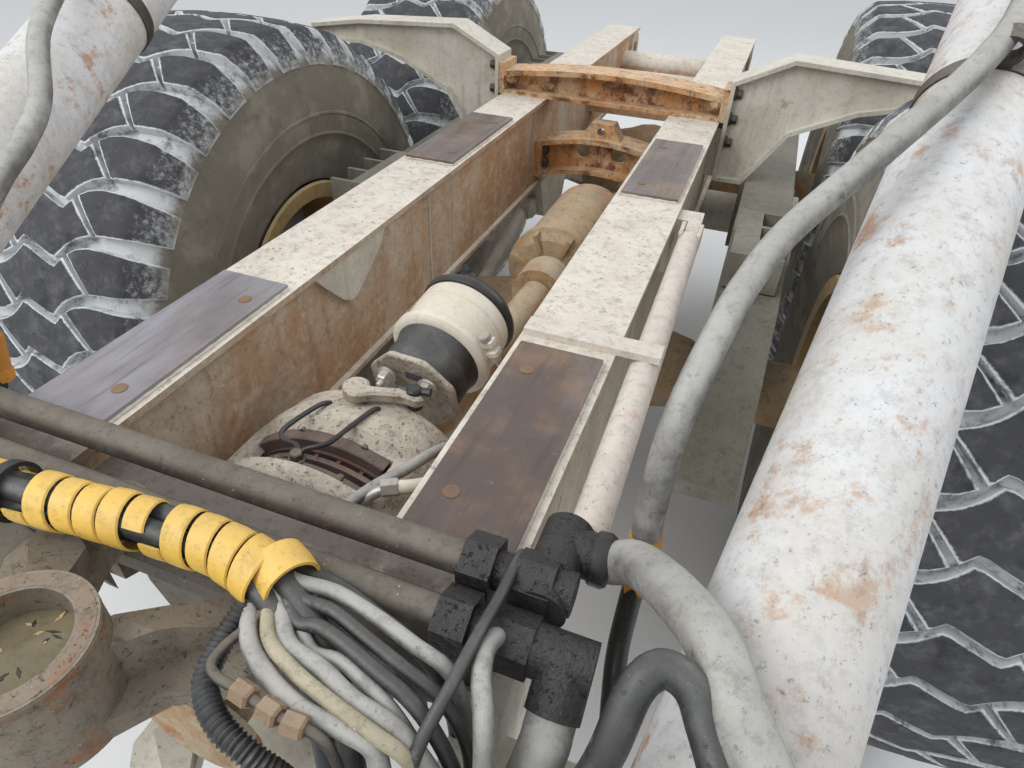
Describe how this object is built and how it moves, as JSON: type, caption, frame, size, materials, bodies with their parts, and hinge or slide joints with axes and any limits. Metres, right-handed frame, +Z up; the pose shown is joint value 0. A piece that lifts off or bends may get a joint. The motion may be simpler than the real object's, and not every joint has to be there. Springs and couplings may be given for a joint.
{
  "type": "articulated dump truck rear chassis",
  "caption": "Rear chassis of an articulated dump truck, with box rails, walking-beam bogie on wide tyres, driveline, parking brake, hoist cylinders and hoses.",
  "frame": {"origin": "on the ground under the middle of the chassis", "axes": "+Z up, +Y towards the rear of the machine, +X to its right when seen from behind its front"},
  "size_m": [2.698, 4.1674, 2.9619],
  "materials": {
    "dusty_paint": "matte grey-beige paint under dried mud and dust",
    "rusty_paint": "worn paint over orange-brown rust",
    "orange_paint": "orange cast beam with dusty edges",
    "cream_paint": "cream paint, dusty",
    "prop_paint": "dusty pale paint with traces of faded red",
    "cylinder_paint": "grey paint with rust speckles",
    "rim_paint": "ochre paint, dusty",
    "bare_steel": "bare steel with brown rust film",
    "dusty_steel": "steel pipe, dusty",
    "chromed_rod": "hard chromed rod, dusty",
    "oily_steel": "black oily fittings",
    "pad_composite": "dark brown wear pad, polished by use",
    "wrap_plastic": "faded yellow spiral wrap",
    "hose_rubber": "rubber hose under grey dust",
    "tyre_rubber": "dusty black rubber"
  },
  "bodies": {
    "chassis": {"rail_left": "dusty_paint", "rail_right": "dusty_paint", "front_crossmember": "rusty_paint", "yoke_upper": "dusty_paint", "yoke_lower": "dusty_paint", "crossmember_upper": "orange_paint", "crossmember_lower": "orange_paint", "rear_crossmember": "dusty_paint", "outrigger_left": "dusty_paint", "outrigger_right": "dusty_paint", "wear_pads": "pad_composite", "web_brackets": "dusty_paint", "axle_front": "rusty_paint", "axle_rear": "dusty_paint", "bogie_beam_left": "dusty_paint", "bogie_beam_right": "dusty_paint", "bogie_pivot": "dusty_paint", "torque_rods": "dusty_paint", "propshafts": "rusty_paint", "brake_disc": "bare_steel", "brake_caliper": "dusty_paint", "brake_chamber": "cream_paint", "wheel_brakes": "bare_steel", "hoist_brackets": "dusty_paint", "cross_pipes": "dusty_steel", "pipe_fittings": "oily_steel", "feed_hoses": "hose_rubber", "hose_bundle": "wrap_plastic", "hose_clamps": "dusty_paint", "prop_brackets": "dusty_paint"},
    "wheel_front_left": {"tyre_front_left": "tyre_rubber", "rim_front_left": "rim_paint"},
    "wheel_front_right": {"tyre_front_right": "tyre_rubber", "rim_front_right": "rim_paint"},
    "wheel_rear_left": {"tyre_rear_left": "tyre_rubber", "rim_rear_left": "rim_paint"},
    "wheel_rear_right": {"tyre_rear_right": "tyre_rubber", "rim_rear_right": "rim_paint"},
    "hoist_barrel_body_left": {"hoist_barrel_left": "cylinder_paint", "hoist_hose_left": "hose_rubber"},
    "hoist_barrel_body_right": {"hoist_barrel_right": "cylinder_paint", "hoist_hose_right": "hose_rubber"},
    "hoist_rod_body_left": {"hoist_rod_left": "chromed_rod"},
    "hoist_rod_body_right": {"hoist_rod_right": "chromed_rod"},
    "body_prop_body": {"body_prop": "prop_paint"}
  },
  "joints": [
    {"name": "wheel_front_left_spin", "type": "hinge", "parent": "chassis", "child": "wheel_front_left", "pos_m": [-1.035, -0.38632, 0.8], "axis": [1, 0, 0], "continuous": true},
    {"name": "wheel_front_right_spin", "type": "hinge", "parent": "chassis", "child": "wheel_front_right", "pos_m": [1.035, -0.38632, 0.8], "axis": [1, 0, 0], "continuous": true},
    {"name": "wheel_rear_left_spin", "type": "hinge", "parent": "chassis", "child": "wheel_rear_left", "pos_m": [-1.035, 1.28368, 0.8], "axis": [1, 0, 0], "continuous": true},
    {"name": "wheel_rear_right_spin", "type": "hinge", "parent": "chassis", "child": "wheel_rear_right", "pos_m": [1.035, 1.28368, 0.8], "axis": [1, 0, 0], "continuous": true},
    {"name": "hoist_tilt_left", "type": "hinge", "parent": "chassis", "child": "hoist_barrel_body_left", "pos_m": [-0.553, -1.99132, 1.228], "axis": [0.9813, 0.1925, 0], "range_deg": [-5, 3]},
    {"name": "hoist_slide_left", "type": "slide", "parent": "hoist_barrel_body_left", "child": "hoist_rod_body_left", "axis": [-0.1767, 0.9006, 0.3971], "range_m": [-1.68, 0]},
    {"name": "hoist_tilt_right", "type": "hinge", "parent": "chassis", "child": "hoist_barrel_body_right", "pos_m": [0.553, -1.99132, 1.228], "axis": [0.9813, -0.1925, 0], "range_deg": [-5, 3]},
    {"name": "hoist_slide_right", "type": "slide", "parent": "hoist_barrel_body_right", "child": "hoist_rod_body_right", "axis": [0.1767, 0.9006, 0.3971], "range_m": [-1.68, 0]},
    {"name": "body_prop_pivot", "type": "hinge", "parent": "chassis", "child": "body_prop_body", "pos_m": [0.403, -0.61332, 1.3223], "axis": [-1, 0, 0], "range_deg": [0, 100]}
  ]
}
